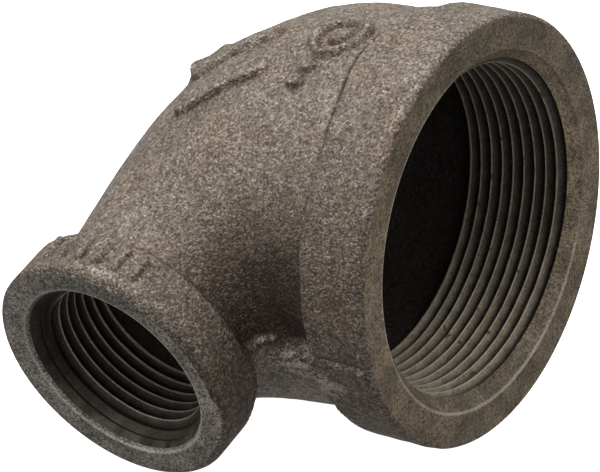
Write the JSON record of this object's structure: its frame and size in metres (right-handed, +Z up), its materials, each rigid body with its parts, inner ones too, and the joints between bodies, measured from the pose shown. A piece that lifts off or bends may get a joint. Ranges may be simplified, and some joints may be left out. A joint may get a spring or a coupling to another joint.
{
  "type": "reducing pipe elbow",
  "caption": "Malleable iron reducing elbow, 90 degrees, with a female taper pipe thread in each banded end.",
  "frame": {"origin": "centre of the large end's face, where its centre line leaves the mouth", "axes": "+X points out of the large end. +Z is up. The elbow lies on its side as it comes to rest on a floor at z = -37.70 mm, with the large band and the small end's rim touching it, so the plane of both centre lines is tipped about X by 18.27 degrees and the small end points to -Y and a little down."},
  "size_m": [0.0668, 0.0935, 0.0754],
  "materials": {
    "cast_iron": "as cast, sand textured, uncoated grey brown, with machined mouths and threads"
  },
  "bodies": {
    "root": {"elbow_casting": "cast_iron"}
  },
  "joints": []
}
